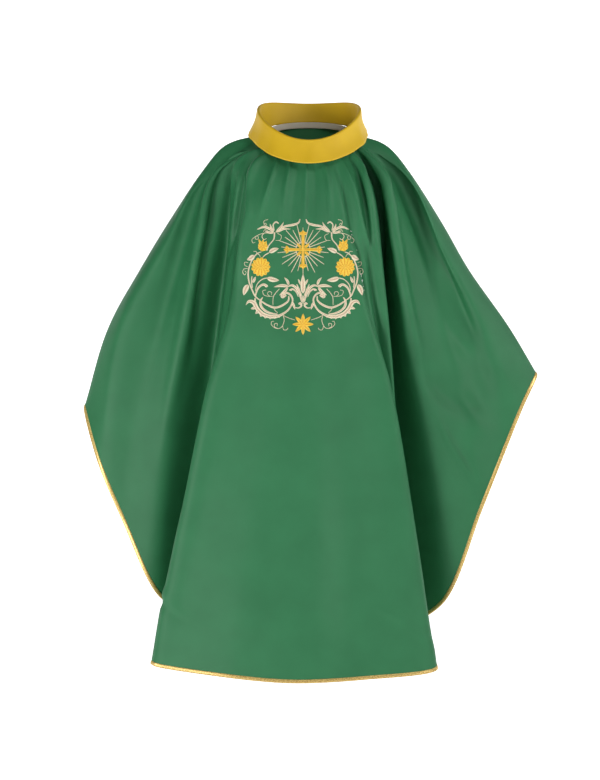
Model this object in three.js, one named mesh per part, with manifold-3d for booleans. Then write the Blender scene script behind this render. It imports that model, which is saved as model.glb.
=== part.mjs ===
// A full Gothic chasuble, hanging from its neck opening with both wings held out.
// Millimetres, +Z up. The front faces -Y and +X is on the right of someone who faces it.
// The origin is the centre of the neck opening, level with the shoulder ends of the neck seam.
import * as THREE from 'three';
import Module from 'manifold-3d';
import { mergeVertices } from 'three/addons/utils/BufferGeometryUtils.js';

// Overall sizes
const drop = 1230;               // neck level to the lowest point of the front hem
const spread = 535;              // centre line to a wing tip
const fullness = 235;            // how far the front hem stands forward of the neck centre

// Cloth
const clothThickness = 1.4;      // fabric and its lining, as one layer
const clearance = 0.3;           // gap between pieces that are sewn face to face
const foldSteps = 2;             // facets from one fold line to the next
const dropSteps = 18;            // facets from neck to hem

// Neck
const neckHalfWidth = 106;
const neckHalfDepth = 98;
const neckHeights = [-45, 8, 40]; // of the neck seam at the front, the sides and the back
const neckTapeWidth = 14;
const neckTapeThickness = 0.8;
const neckTapeGap = 2.0;         // the tape stands this far inside the cloth at the neck seam

// Collar, rolled over at its rim. Heights are given at the front, the sides and the back.
const collarStand = [38, 60, 45]; // neck seam to the rim
const collarFall = [54, 59, 50];  // rim to the lower edge
const collarLean = 11;           // how far the rim stands outside the neck seam
const collarFlare = 22;          // how far the lower edge stands outside the rim
const collarRoll = 4.5;          // half the thickness of the roll at the rim
const collarLayer = 0.8;         // thickness of each collar layer
const collarSides = 36;          // facets around the collar

// Shoulder tapes and hem trim
const shoulderTapeLength = 160;
const shoulderTapeWidth = 12;
const shoulderTapeThickness = 0.8;
const shoulderTapeGap = 3.4;     // between the tape and the ridge of the cloth above it
const trimWidth = 9;
const trimGap = 0.95;            // the cloth stops this far short of the trim
const trimThickness = 2.6;

// Embroidery
const embroideryWidth = 275;
const embroideryDrop = 307;      // neck level to the middle of the embroidery
const embroideryShift = -14;     // the front hangs this far to one side
const threadThickness = 0.8;
const backingThickness = 0.6;
const chestForward = 115;        // the flat front of the chest, forward of the neck centre at neck level
const chestSlope = 0.085;        // how much the front leans out for each unit of drop
const flatMargin = 42;           // flat cloth beyond the embroidery, to each side
const flatMarginUp = 62;         // flat cloth above and below it
const flatBlend = 45;            // the flat cloth runs into the folds over this distance

// Fold lines of the front, from the left arm line to the right one. Each starts on the neck seam
// at an angle from the centre front, and its points are percentages of spread, fullness and drop.
const armLeft = [-90, [-32.5, -4, 0.5], [-38.5, -4, 2], [-46, -4, 6], [-61.5, -2, 16], [-74, 0, 25],
  [-88, 0, 36], [-99, 0, 51]];
const wingLeft = [
  [-82, [-47, 10.5, 8], [-62.5, 19, 20], [-82, 21, 36], [-92.5, 21, 60.5]],
  [-75, [-42, 13, 7], [-60, 19, 26.5], [-74, 23, 49], [-82, 25.5, 71.5]],
  [-68, [-37.5, 19, 5.5], [-45, 30, 18], [-53, 32, 36], [-61, 34, 58.5], [-66.5, 32, 86]],
  [-61, [-33.5, 19, 4], [-35.5, 19, 10], [-44, 13, 30.5], [-49.5, 10.5, 49.5], [-57, 6.5, 92]],
];
const panelLeft = [
  [-54, [-30, 36, 6], [-34, 38, 12], [-39.5, 34, 30], [-45, 38, 49], [-56, 40, 96.5]],
  [-46, [-25, 43, 5.5], [-31, 43, 12], [-36.5, 43, 30], [-40, 47, 49], [-51.5, 47, 97]],
  [-38, [-19.5, 51, 8], [-29, 60, 17], [-35, 64, 32], [-44, 70, 48.5], [-58, 77, 78], [-65.5, 79, 97.5]],
  [-20, [-12, 55, 10.5], [-21.5, 70, 48.5], [-29, 85, 77.5], [-35.5, 96, 99]],
];
const centreFront = [0, [-1, 55, 14], [-3, 70, 48], [-5, 85, 78], [-6, 100, 100]];
const panelRight = [
  [20, [11, 55, 10.5], [15, 70, 48.5], [19.5, 85, 77.5], [24, 96, 99.5]],
  [36, [18, 51, 10], [25, 62, 30], [35.5, 70, 48.5], [46, 77, 78], [54, 79, 98.5]],
  [44, [21.5, 43, 9], [27, 50, 30], [32, 47, 49], [38, 47, 79], [43, 47, 97]],
  [52, [24.5, 43, 8.5], [32, 51, 28.5], [36.5, 51, 49], [41, 43, 79], [45, 40, 96]],
];
const wingRight = [
  [61, [31, 23, 9], [35.5, 17, 29], [40, 13, 49.5], [44, 8.5, 76.5], [45, 6.5, 94.5]],
  [68, [34.5, 23, 9], [39, 32, 30], [47, 34, 49], [55, 34, 68], [60, 32, 87]],
  [75, [40, 13, 8.5], [58, 19, 28.5], [66, 23, 45.5], [75, 25.5, 70.5]],
  [82, [43, 10.5, 7.5], [59, 19, 22], [76, 21, 35], [92.5, 21, 51]],
];
const armRight = [90, [30, -4, 0.5], [35.5, -4, 2], [43, -4, 6], [58, -2, 16], [70, 0, 25],
  [88, 0, 36], [100, 0, 44.7]];

// The back of each wing hangs as its front does. The back panel has one soft fold at each side.
const backTuck = 0.97;           // the back of a wing lies this much further in than its front
const behind = ([angle, ...points]) => [Math.sign(angle) * 180 - angle,
  ...points.map(([across, forward, down]) => [across * backTuck, -forward, down])];
const centreBack = [180, [0, -45, 8], [0, -55, 25], [0, -66, 55], [0, -80, 98.5]];
const backFold = (side) => [side * 150, [side * 20, -43, 9], [side * 30, -60, 30], [side * 38, -68, 52],
  [side * 50, -76, 97]];

const frontFolds = [armLeft, ...wingLeft, ...panelLeft, centreFront, ...panelRight, ...wingRight, armRight];
const backFolds = [...wingRight.map(behind).reverse(), backFold(1), centreBack, backFold(-1),
  ...wingLeft.map(behind).reverse()];

const smoothstep = THREE.MathUtils.smoothstep;
const lerp = THREE.MathUtils.lerp;

// A point of a closed line round the neck, at an angle from the centre front. The line is an
// oval, this far outside the neck seam, and its heights are given at the front, sides and back.
function roundNeck(angle, outward = 0, [front, side, back] = neckHeights) {
  const turn = THREE.MathUtils.degToRad(angle);
  const middle = (front + back) / 2;
  const height = (middle + side) / 2 + (front - back) / 2 * Math.cos(turn)
    + (middle - side) / 2 * Math.cos(2 * turn);
  return new THREE.Vector3((neckHalfWidth + outward) * Math.sin(turn),
    -(neckHalfDepth + outward) * Math.cos(turn), height);
}

function foldCurve([angle, ...points]) {
  const places = points.map(([across, forward, down]) =>
    new THREE.Vector3(across * spread, -forward * fullness, -down * drop).divideScalar(100));
  const curve = new THREE.CatmullRomCurve3([roundNeck(angle), ...places], false, 'centripetal');
  curve.arcLengthDivisions = 400;
  return curve;
}

// The chest is flat where the embroidery lies, and runs into the folds around it.
const chestY = (z) => -chestForward + chestSlope * z;

function flattenChest(point) {
  const beyondX = Math.abs(point.x - embroideryShift) - embroideryWidth / 2 - flatMargin;
  const beyondZ = Math.abs(point.z + embroideryDrop) - embroideryWidth / 2 - flatMarginUp;
  const free = smoothstep(Math.max(beyondX, beyondZ), 0, flatBlend);
  if (point.y < 0) point.y = lerp(chestY(point.z), point.y, free);
  return point;
}

// The whole cloth is one closed ring of columns, each a list of points from neck to hem.
function clothColumns(folds) {
  const curves = folds.map(foldCurve);
  const columns = Array.from({ length: curves.length * foldSteps }, () => []);
  for (let row = 0; row <= dropSteps; row += 1) {
    const knots = curves.map((curve) => curve.getPointAt(row / dropSteps));
    const ring = new THREE.CatmullRomCurve3(knots, true, 'centripetal');
    columns.forEach((column, index) => {
      column.push(flattenChest(ring.getPoint(index / columns.length)));
    });
  }
  return columns;
}

function outwardNormals(columns) {
  const count = columns.length;
  return columns.map((column, index) => column.map((point, row) => {
    const across = columns[(index + 1) % count][row].clone().sub(columns[(index + count - 1) % count][row]);
    const down = column[Math.min(row + 1, column.length - 1)].clone().sub(column[Math.max(row - 1, 0)]);
    return across.cross(down).normalize().negate();
  }));
}

// A closed body from rings of points. A closed row of rings joins its last to its first. The second
// half of each ring splits its four-sided faces the other way, so that the two faces of a sheet and
// the sheets beside it stay parallel.
function solidFromRings(rings, closed) {
  const sides = rings[0].length;
  const positions = rings.flat().flatMap((point) => point.toArray());
  const faces = [];
  const spans = closed ? rings.length : rings.length - 1;
  for (let ring = 0; ring < spans; ring += 1) {
    for (let side = 0; side < sides; side += 1) {
      const a = ring * sides + side;
      const b = ring * sides + (side + 1) % sides;
      const c = ((ring + 1) % rings.length) * sides + (side + 1) % sides;
      const d = ((ring + 1) % rings.length) * sides + side;
      if (side < sides / 2) faces.push(a, b, c, a, c, d);
      else faces.push(a, b, d, b, c, d);
    }
  }
  if (!closed) {
    const last = (rings.length - 1) * sides;
    faces.push(...endCap(0, sides), ...endCap(last, sides).reverse());
  }
  return outwardGeometry(positions, faces);
}

// An end cap of a sheet, whose ring runs down one face and up the other
function endCap(start, sides) {
  const faces = [];
  for (let low = 0, high = sides - 1; low + 1 < high; low += 1, high -= 1) {
    faces.push(start + low, start + high - 1, start + low + 1, start + low, start + high, start + high - 1);
  }
  return faces;
}

// Builds the geometry and turns it inside out if its faces point inwards.
function outwardGeometry(positions, faces) {
  const geometry = new THREE.BufferGeometry();
  geometry.setAttribute('position', new THREE.Float32BufferAttribute(positions, 3));
  let volume = 0;
  const corner = (index) => new THREE.Vector3().fromArray(positions, 3 * index);
  for (let face = 0; face < faces.length; face += 3) {
    volume += corner(faces[face]).dot(corner(faces[face + 1]).cross(corner(faces[face + 2])));
  }
  if (volume < 0) faces.reverse();
  geometry.setIndex(faces);
  return geometry;
}

// A sheet between two depths below the outer surface of the cloth.
function sheetFromColumns(columns, normals, near, far, closed = false) {
  const rings = columns.map((column, index) => {
    const at = (depth) => column.map((point, row) => point.clone().addScaledVector(normals[index][row], -depth));
    return [...at(near), ...at(far).reverse()];
  });
  return solidFromRings(rings, closed);
}

const group = new THREE.Group();
const finishes = {
  cloth: { color: '#2f7d4f', roughness: 0.7 },
  collar: { color: '#d8b32a', roughness: 0.65 },
  lining: { color: '#efe9da', roughness: 0.9 },
  trim: { color: '#c9a94f', roughness: 0.45, metalness: 0.3 },
  paleThread: { color: '#eadcc0', roughness: 0.5 },
  goldThread: { color: '#e6aa2c', roughness: 0.5 },
};

function addPiece(name, geometry, finish) {
  const mesh = new THREE.Mesh(geometry, new THREE.MeshStandardMaterial(finishes[finish]));
  mesh.name = name;
  group.add(mesh);
}

// The hem edge, and the way up into the cloth at a right angle to it
const columns = clothColumns([...frontFolds, ...backFolds]);
const normals = outwardNormals(columns);
const rightArm = (frontFolds.length - 1) * foldSteps;
const hem = columns.map((column) => column.at(-1).clone());
const upFromHem = hem.map((point, index) => {
  const along = hem[(index + 1) % hem.length].clone().sub(hem.at(index - 1));
  return normals[index].at(-1).clone().cross(along).normalize();
});
const aboveHem = (height) => hem.map((point, index) => point.clone().addScaledVector(upFromHem[index], height));

// Panels, joined along the arm lines and ending where the hem trim starts
const hemStart = aboveHem(trimWidth + trimGap);
columns.forEach((column, index) => column.at(-1).copy(hemStart[index]));

function panel(first, last) {
  const picked = [];
  const pickedNormals = [];
  for (let index = first; index <= last; index += 1) {
    picked.push(columns[index % columns.length].map((point) => point.clone()));
    pickedNormals.push(normals[index % columns.length]);
  }
  openSeam(picked[0], picked[1]);
  openSeam(picked.at(-1), picked.at(-2));
  return sheetFromColumns(picked, pickedNormals, 0, clothThickness);
}

// Draws the edge of a panel back from the seam line, towards its next column.
function openSeam(edge, next) {
  edge.forEach((point, row) => point.addScaledVector(next[row].clone().sub(point).normalize(), clearance));
}

addPiece('front_panel', panel(0, rightArm), 'cloth');
addPiece('back_panel', panel(rightArm, columns.length), 'cloth');

// Hem trim: one loop that closes round both wings
const trimTop = aboveHem(trimWidth);
const trimColumns = hem.map((point, index) => [trimTop[index], point]);
const trimNormals = normals.map((column) => [column.at(-1), column.at(-1)]);
const trimProud = (trimThickness - clothThickness) / 2;
addPiece('hem_binding', sheetFromColumns(trimColumns, trimNormals, -trimProud, clothThickness + trimProud, true),
  'trim');

// The neck tape stands inside the neck seam.
const neckRings = Array.from({ length: collarSides }, (_, side) => {
  const out = -clothThickness - neckTapeGap;
  const corner = (outward, down) => roundNeck(side / collarSides * 360, outward,
    neckHeights.map((height) => height - down));
  return [corner(out, 0), corner(out, neckTapeWidth), corner(out - neckTapeThickness, neckTapeWidth),
    corner(out - neckTapeThickness, 0)];
});
addPiece('neck_tape', solidFromRings(neckRings, true), 'lining');

// A shoulder tape is folded along the seam, under both panels.
function shoulderTape(arm) {
  const seam = columns[arm];
  const rows = seam.filter((point) => point.distanceTo(seam[0]) < shoulderTapeLength).length;
  const beside = [-1, 1].map((side) => columns.at((arm + side) % columns.length));
  const edge = (next) => seam.map((point, row) => point.clone()
    .addScaledVector(next[row].clone().sub(point).normalize(), shoulderTapeWidth / 2));
  const tape = [edge(beside[0]), seam, edge(beside[1])].map((column) => column.slice(1, rows + 1));
  const tapeNormals = tape.map(() => normals[arm].slice(1, rows + 1));
  return sheetFromColumns(tape, tapeNormals, tapeDepth, tapeDepth + shoulderTapeThickness);
}
const tapeDepth = clothThickness + shoulderTapeGap;
addPiece('shoulder_tape_left', shoulderTape(0), 'lining');
addPiece('shoulder_tape_right', shoulderTape(rightArm), 'lining');

// Collar: each layer runs up from the neck seam, round the roll and down to the lower edge.
// depth is how far the layer lies under the visible face.
const sum = (first, second, sign = 1) => first.map((value, index) => value + sign * second[index]);
const rimHeights = sum(neckHeights, collarStand);
const edgeHeights = sum(rimHeights, collarFall, -1);

function collarSection(angle, depth) {
  const seam = roundNeck(angle);
  const rim = roundNeck(angle, collarLean, rimHeights);
  const lowerEdge = roundNeck(angle, collarLean + collarFlare, edgeHeights);
  const outward = new THREE.Vector3(rim.x - seam.x, rim.y - seam.y, 0).normalize();
  const radius = collarRoll - depth;
  const shifted = (point, out, up) => point.clone().addScaledVector(outward, out).setZ(point.z + up);
  const roll = [0, 1, 2, 3, 4].map((step) => step / 4 * Math.PI).map((turn) =>
    shifted(rim, -radius * Math.cos(turn), radius * Math.sin(turn) - collarRoll));
  return [shifted(seam, depth, clearance), ...roll, shifted(lowerEdge, -depth, 0)];
}

function collarLayerPiece(near, far) {
  const rings = Array.from({ length: collarSides }, (_, side) => {
    const angle = side / collarSides * 360;
    return [...collarSection(angle, near), ...collarSection(angle, far).reverse()];
  });
  return solidFromRings(rings, true);
}
const nextLayer = collarLayer + clearance;
addPiece('collar_upper', collarLayerPiece(0, collarLayer), 'collar');
addPiece('collar_interlining', collarLayerPiece(nextLayer, nextLayer + collarLayer), 'lining');
addPiece('collar_under', collarLayerPiece(2 * nextLayer, 2 * nextLayer + collarLayer), 'collar');

// Embroidery, drawn in a plane that lies on the chest: x across, y up, from its middle.
// designWidth is the width that the drawing below is made at.
const designWidth = 290;
const drawingScale = embroideryWidth / designWidth;
const chestAcross = new THREE.Vector3(1, 0, 0);
const chestUp = new THREE.Vector3(0, chestSlope, 1).normalize();
const chestOut = new THREE.Vector3().crossVectors(chestAcross, chestUp);
const chestMiddle = new THREE.Vector3(embroideryShift, chestY(-embroideryDrop), -embroideryDrop);

function onChest(geometry, height) {
  const place = new THREE.Matrix4().makeBasis(chestAcross, chestUp, chestOut);
  place.setPosition(chestMiddle.clone().addScaledVector(chestOut, height));
  return geometry.applyMatrix4(place);
}

const wasm = await Module();
wasm.setup();

function toSolid(geometry) {
  const plain = geometry.index ? geometry : geometry.clone();
  plain.deleteAttribute('normal');
  plain.deleteAttribute('uv');
  const merged = mergeVertices(plain, 1e-4);
  return new wasm.Manifold(new wasm.Mesh({
    numProp: 3,
    vertProperties: new Float32Array(merged.attributes.position.array),
    triVerts: new Uint32Array(merged.index.array),
  }));
}

function fromSolid(solid) {
  const { vertProperties, triVerts } = solid.getMesh();
  const geometry = new THREE.BufferGeometry();
  geometry.setAttribute('position', new THREE.BufferAttribute(vertProperties, 3));
  geometry.setIndex(new THREE.BufferAttribute(triVerts, 1));
  return geometry;
}

// Joins flat outlines, each a list of [x, y] corners, into one patch of stitching.
function stitched(outlines, height = clearance) {
  const solids = outlines.map((outline) => {
    const shape = new THREE.Shape(outline.map(([x, y]) => new THREE.Vector2(x * drawingScale, y * drawingScale)));
    return toSolid(new THREE.ExtrudeGeometry(shape, { depth: threadThickness, bevelEnabled: false }));
  });
  return onChest(fromSolid(solids.reduce((whole, solid) => whole.add(solid))), height);
}

// A leaf from its base to its tip
function leaf(baseX, baseY, tipX, tipY, width) {
  const across = new THREE.Vector2(baseY - tipY, tipX - baseX).normalize().multiplyScalar(width / 2);
  const side = (sign) => [0.2, 0.45, 0.75].map((share) => {
    const bulge = sign * Math.sin(Math.PI * share ** 0.8);
    return [lerp(baseX, tipX, share) + across.x * bulge, lerp(baseY, tipY, share) + across.y * bulge];
  });
  return [[baseX, baseY], ...side(1), [tipX, tipY], ...side(-1).reverse()];
}

// A stem along a smooth line, as wide at each end as its two widths say
function stem(points, startWidth, endWidth = startWidth) {
  const line = new THREE.CatmullRomCurve3(points.map(([x, y]) => new THREE.Vector3(x, y, 0)));
  const steps = 3 * (points.length - 1);
  const side = (sign) => Array.from({ length: steps + 1 }, (_, step) => {
    const share = step / steps;
    const heading = line.getTangent(share);
    const half = sign * lerp(startWidth, endWidth, share) / 2;
    const point = line.getPoint(share);
    return [point.x - heading.y * half, point.y + heading.x * half];
  });
  return [...side(1), ...side(-1).reverse()];
}

// A flower whose edge is a ring of round lobes
function blossom(x, y, radius, lobes, depth) {
  return Array.from({ length: lobes * 4 }, (_, step) => {
    const turn = step / (lobes * 4) * 2 * Math.PI;
    const reach = radius * (1 - depth * Math.abs(Math.sin(lobes * turn / 2)));
    return [x + reach * Math.cos(turn), y + reach * Math.sin(turn)];
  });
}

const mirrored = (outlines, side) => outlines.map((outline) => outline.map(([x, y]) => [x * -side, y]));

// Each motif that is worked twice, drawn for the left half
const pairedMotifs = {
  leaf_spray: ['paleThread', [
    leaf(-78, 97, -8, 127, 8), leaf(-76, 97, -26, 105, 7), leaf(-74, 96, -47, 124, 6), leaf(-73, 96, -61, 122, 6),
    leaf(-72, 96, -79, 120, 6), leaf(-68, 96, -110, 103, 8), stem([[-73, 99], [-75, 90], [-73, 82]], 3)]],
  crown_flower: ['goldThread', [blossom(-97, 66, 13, 5, 0.25)]],
  rose: ['goldThread', [blossom(-102, 14.5, 22, 7, 0.2)]],
  vine: ['paleThread', [
    stem([[-114, 49], [-127, 34], [-132, 0], [-126, -30], [-119, -46]], 3),
    leaf(-121, 38, -133, 54, 12), leaf(-128, -24, -144, -56, 13), leaf(-131, -8, -112, -19, 9)]],
  inner_leaf: ['paleThread', [leaf(-82, 45, -60, 58, 12), stem([[-79, 47], [-84, 44], [-87, 40]], 2.5)]],
  scroll: ['paleThread', [
    stem([[-122, -84], [-95, -101], [-70, -105], [-48, -98], [-32, -82], [-26, -61], [-35, -47], [-48, -50],
      [-46, -58]], 13, 5),
    leaf(-112, -92, -140, -74, 13), leaf(-112, -88, -123, -64, 9)]],
  inner_scroll: ['paleThread', [
    stem([[-48, -78], [-70, -86], [-92, -80], [-109, -62], [-110, -42], [-99, -29], [-89, -34], [-93, -42]], 5)]],
  side_leaf: ['paleThread', [leaf(-87, -21, -60, -7, 13), stem([[-84, -19], [-89, -22], [-93, -21]], 2.5)]],
  leaf_sprig: ['paleThread', [leaf(-30, -28, -68, -31, 10), leaf(-31, -31, -47, -11, 9), leaf(-33, -26, -29, -40, 6)]],
  lower_tendril: ['paleThread', [
    stem([[-30, -117], [-44, -115], [-58, -116], [-68, -124], [-60, -129]], 2.5),
    stem([[-40, -116], [-46, -127], [-38, -135], [-31, -129]], 2.5)]],
};
for (const [name, [thread, outlines]] of Object.entries(pairedMotifs)) {
  addPiece(`${name}_left`, stitched(mirrored(outlines, -1)), thread);
  addPiece(`${name}_right`, stitched(mirrored(outlines, 1)), thread);
}

// Motifs on the centre line
const volute = (x) => blossom(x, -75, 4.5, 3, 0.1);
addPiece('palmette', stitched([
  leaf(0, -46, 0, -4, 17), leaf(2, -50, -21, -30, 9), leaf(-2, -50, 21, -30, 9), leaf(2, -66, -17, -48, 9),
  leaf(-2, -66, 17, -48, 9), stem([[0, -40], [0, -60], [0, -75]], 6), volute(-6), volute(6)]), 'paleThread');

const petals = (count, x, y, inner, outer, width) => Array.from({ length: count }, (_, index) => {
  const turn = index / count * 2 * Math.PI + Math.PI / 2;
  return leaf(x + inner * Math.cos(turn), y + inner * Math.sin(turn),
    x + outer * Math.cos(turn), y + outer * Math.sin(turn), width);
});
addPiece('star_flower', stitched([blossom(0, -123, 8, 4, 0.05), ...petals(8, 0, -123, 2, 25, 12)]), 'goldThread');

const sunHeight = 55;            // middle of the sun, above the middle of the embroidery
addPiece('sunburst', stitched([blossom(0, sunHeight, 20, 6, 0.02), ...petals(24, 0, sunHeight, 12, 54, 3.5)]),
  'paleThread');

// The cross has equal round-ended arms, and lies on the sun.
const crossArm = 36;
const bar = (x, y) => stem([[-x, sunHeight - y], [0, sunHeight], [x, sunHeight + y]], 9);
const crossEnds = [[crossArm, 0], [-crossArm, 0], [0, crossArm], [0, -crossArm]]
  .map(([x, y]) => blossom(x, sunHeight + y, 10, 4, 0.25));
addPiece('cross_emblem', stitched([bar(crossArm, 0), bar(0, crossArm), ...crossEnds],
  threadThickness + 2 * clearance), 'goldThread');

// Backing behind the stitching, on the wrong side of the cloth
const backingShape = new THREE.Shape(Array.from({ length: 24 }, (_, step) => {
  const turn = step / 24 * 2 * Math.PI;
  return new THREE.Vector2(Math.cos(turn), Math.sin(turn)).multiplyScalar(embroideryWidth / 2 + 8);
}));
addPiece('embroidery_backing', onChest(
  new THREE.ExtrudeGeometry(backingShape, { depth: backingThickness, bevelEnabled: false }),
  -clothThickness - clearance - backingThickness), 'lining');

export default group;
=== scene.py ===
"""A chasuble on show: draped green cloth, a rolled gold collar, a gold hem braid and raised embroidery."""

import math

import bpy
import numpy as np
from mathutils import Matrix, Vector


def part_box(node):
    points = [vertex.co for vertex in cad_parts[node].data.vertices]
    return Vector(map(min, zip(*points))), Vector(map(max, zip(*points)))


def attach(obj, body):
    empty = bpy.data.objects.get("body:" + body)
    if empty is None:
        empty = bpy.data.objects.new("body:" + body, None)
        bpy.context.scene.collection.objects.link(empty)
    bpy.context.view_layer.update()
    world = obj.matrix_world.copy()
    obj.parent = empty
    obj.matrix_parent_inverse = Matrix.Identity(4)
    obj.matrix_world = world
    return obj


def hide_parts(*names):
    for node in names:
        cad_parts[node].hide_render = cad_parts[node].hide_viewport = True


bl_info = {
    "name": "Chasuble",
    "version": (1, 0, 0),
    "blender": (4, 5, 0),
    "location": "3D View > Sidebar > Chasuble",
    "description": "Drapes, trims and embroiders a chasuble around its frame",
    "category": "Object",
}

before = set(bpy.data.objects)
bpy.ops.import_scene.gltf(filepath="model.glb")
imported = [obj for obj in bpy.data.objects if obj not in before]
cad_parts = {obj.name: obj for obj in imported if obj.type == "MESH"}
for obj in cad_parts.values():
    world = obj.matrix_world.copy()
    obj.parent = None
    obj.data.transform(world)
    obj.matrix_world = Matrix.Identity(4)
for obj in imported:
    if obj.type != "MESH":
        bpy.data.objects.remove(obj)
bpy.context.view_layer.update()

# ---------------------------------------------------------------------------------------------
# Sizes that come from the frame, in metres
# ---------------------------------------------------------------------------------------------

HEM_LOW, HEM_HIGH = (np.array(corner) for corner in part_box("hem_binding"))
SUN_LOW, SUN_HIGH = (np.array(corner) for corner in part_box("sunburst"))
STAR_LOW, STAR_HIGH = (np.array(corner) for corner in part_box("star_flower"))

SPREAD = float(HEM_HIGH[0])
FULLNESS = float(-HEM_LOW[1])
DROP = float(-HEM_LOW[2])

# Fold lines, each from the neck seam to the hem: its angle round the neck from the centre front,
# then points in percent of SPREAD across, FULLNESS forward and DROP down.
ARM_LEFT = (-90, (-32.5, -4, 0.5), (-38.5, -4, 2), (-46, -4, 6), (-61.5, -2, 16), (-74, 0, 25),
            (-88, 0, 36), (-99, 0, 51))
WING_LEFT = (
    (-82, (-47, 10.5, 8), (-62.5, 19, 20), (-82, 21, 36), (-92.5, 21, 60.5)),
    (-75, (-42, 13, 7), (-60, 19, 26.5), (-74, 23, 49), (-82, 25.5, 71.5)),
    (-68, (-37.5, 18, 5.5), (-45, 26, 18), (-53, 28, 36), (-61, 29, 58.5), (-66.5, 30, 86)),
    (-61, (-31.5, 15, 4), (-32.5, 12, 10), (-38.5, 6, 30.5), (-44, 3, 49.5), (-53.5, 2, 92)),
)
PANEL_LEFT = (
    (-54, (-28.5, 36, 6), (-32, 37, 12), (-36.5, 34, 30), (-42, 38, 49), (-55, 40, 96.5)),
    (-46, (-24, 43, 5.5), (-29, 43, 12), (-34, 43, 30), (-38.5, 47, 49), (-51.5, 47, 97)),
    (-38, (-19.5, 51, 8), (-27.5, 60, 17), (-32.5, 64, 32), (-42.5, 70, 48.5), (-57, 77, 78),
     (-65.5, 79, 97.5)),
    (-20, (-12, 55, 10.5), (-21.5, 70, 48.5), (-29, 85, 77.5), (-35.5, 96, 99)),
)
CENTRE_FRONT = (0, (-1, 55, 14), (-3, 70, 48), (-5, 85, 78), (-6, 100, 100))
PANEL_RIGHT = (
    (20, (11, 55, 10.5), (15, 70, 48.5), (19.5, 85, 77.5), (24, 96, 99.5)),
    (36, (18, 51, 10), (25, 62, 30), (35.5, 70, 48.5), (46, 77, 78), (54, 79, 98.5)),
    (44, (21.5, 43, 9), (27, 50, 30), (32, 47, 49), (38, 47, 79), (43, 47, 97)),
    (52, (24.5, 43, 8.5), (32, 51, 28.5), (36.5, 51, 49), (41, 43, 79), (45, 40, 96)),
)
WING_RIGHT = (
    (61, (28.5, 15, 9), (32.5, 6, 29), (36, 2, 49.5), (40.5, 1, 76.5), (43, 1, 94.5)),
    (68, (32.5, 27, 9), (39.5, 32, 30), (48, 32, 49), (56, 32, 68), (60, 30, 87)),
    (75, (40, 7, 8.5), (55, 10, 28.5), (65, 15, 45.5), (75, 24, 70.5)),
    (82, (43, 10.5, 7.5), (59, 19, 22), (76, 21, 35), (92.5, 21, 51)),
)
ARM_RIGHT = (90, (30, -4, 0.5), (35.5, -4, 2), (43, -4, 6), (58, -2, 16), (70, 0, 25),
             (88, 0, 36), (100, 0, 44.7))
BACK_TUCK = 0.97                 # the back of a wing lies this much further in than its front
CENTRE_BACK = (180, (0, -45, 8), (0, -55, 25), (0, -66, 55), (0, -80, 98.5))


def behind(fold):
    """The fold line on the back of a wing that answers one on its front."""
    angle, *points = fold
    turned = [(across * BACK_TUCK, -forward, down) for across, forward, down in points]
    return (math.copysign(180, angle) - angle, *turned)


def back_fold(side):
    """The soft fold at one side of the back panel."""
    return (side * 150, (side * 20, -43, 9), (side * 30, -60, 30), (side * 38, -68, 52),
            (side * 50, -76, 97))


FRONT_FOLDS = (ARM_LEFT, *WING_LEFT, *PANEL_LEFT, CENTRE_FRONT, *PANEL_RIGHT, *WING_RIGHT, ARM_RIGHT)
BACK_FOLDS = (*[behind(fold) for fold in reversed(WING_RIGHT)], back_fold(1), CENTRE_BACK, back_fold(-1),
              *[behind(fold) for fold in reversed(WING_LEFT)])
FOLDS = FRONT_FOLDS + BACK_FOLDS
RIGHT_ARM = len(FRONT_FOLDS) - 1

# ---------------------------------------------------------------------------------------------
# Lines and surfaces
# ---------------------------------------------------------------------------------------------


def spline(knots, position, closed=False):
    """A smooth line through its knots: cubic pieces whose speed at a knot is the mean of the speeds
    of the chords beside it, with the square root of each chord's length as its time."""
    if closed:
        padded = np.concatenate([knots[..., -1:, :], knots, knots[..., :2, :]], axis=-2)
        spans = knots.shape[-2]
    else:
        start = 2 * knots[..., :1, :] - knots[..., 1:2, :]
        end = 2 * knots[..., -1:, :] - knots[..., -2:-1, :]
        padded = np.concatenate([start, knots, end], axis=-2)
        spans = knots.shape[-2] - 1
    position = np.asarray(position, float)
    span = np.clip(np.floor(position).astype(int), 0, spans - 1)
    share = (position - span)[:, None]
    p0, p1, p2, p3 = (padded[..., span + step, :] for step in range(4))
    times = [np.sqrt(np.linalg.norm(b - a, axis=-1, keepdims=True)) + 1e-9
             for a, b in ((p0, p1), (p1, p2), (p2, p3))]
    leave = ((p1 - p0) / times[0] - (p2 - p0) / (times[0] + times[1])) * times[1] + (p2 - p1)
    reach = (p2 - p1) - (p3 - p1) * times[1] / (times[1] + times[2]) + (p3 - p2) * times[1] / times[2]
    square, cube = share ** 2, share ** 3
    return ((2 * cube - 3 * square + 1) * p1 + (cube - 2 * square + share) * leave
            + (3 * square - 2 * cube) * p2 + (cube - square) * reach)


def smooth(low, high, value):
    """Rises from 0 at low to 1 at high, level at both ends."""
    share = np.clip((value - low) / (high - low), 0, 1)
    return share * share * (3 - 2 * share)


def normalise(vectors):
    """Vectors of the same directions, each one long."""
    return vectors / np.maximum(np.linalg.norm(vectors, axis=-1, keepdims=True), 1e-12)


def lengths_along(line):
    """The length from a line's first point to each of its points."""
    return np.concatenate([[0], np.cumsum(np.linalg.norm(np.diff(line, axis=0), axis=1))])


# The neck seam: an oval that the collar's hidden layer stands on
NECK_HALF = (0.106, 0.098)
NECK_HEIGHTS = (-0.045, 0.008, 0.040)


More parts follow.
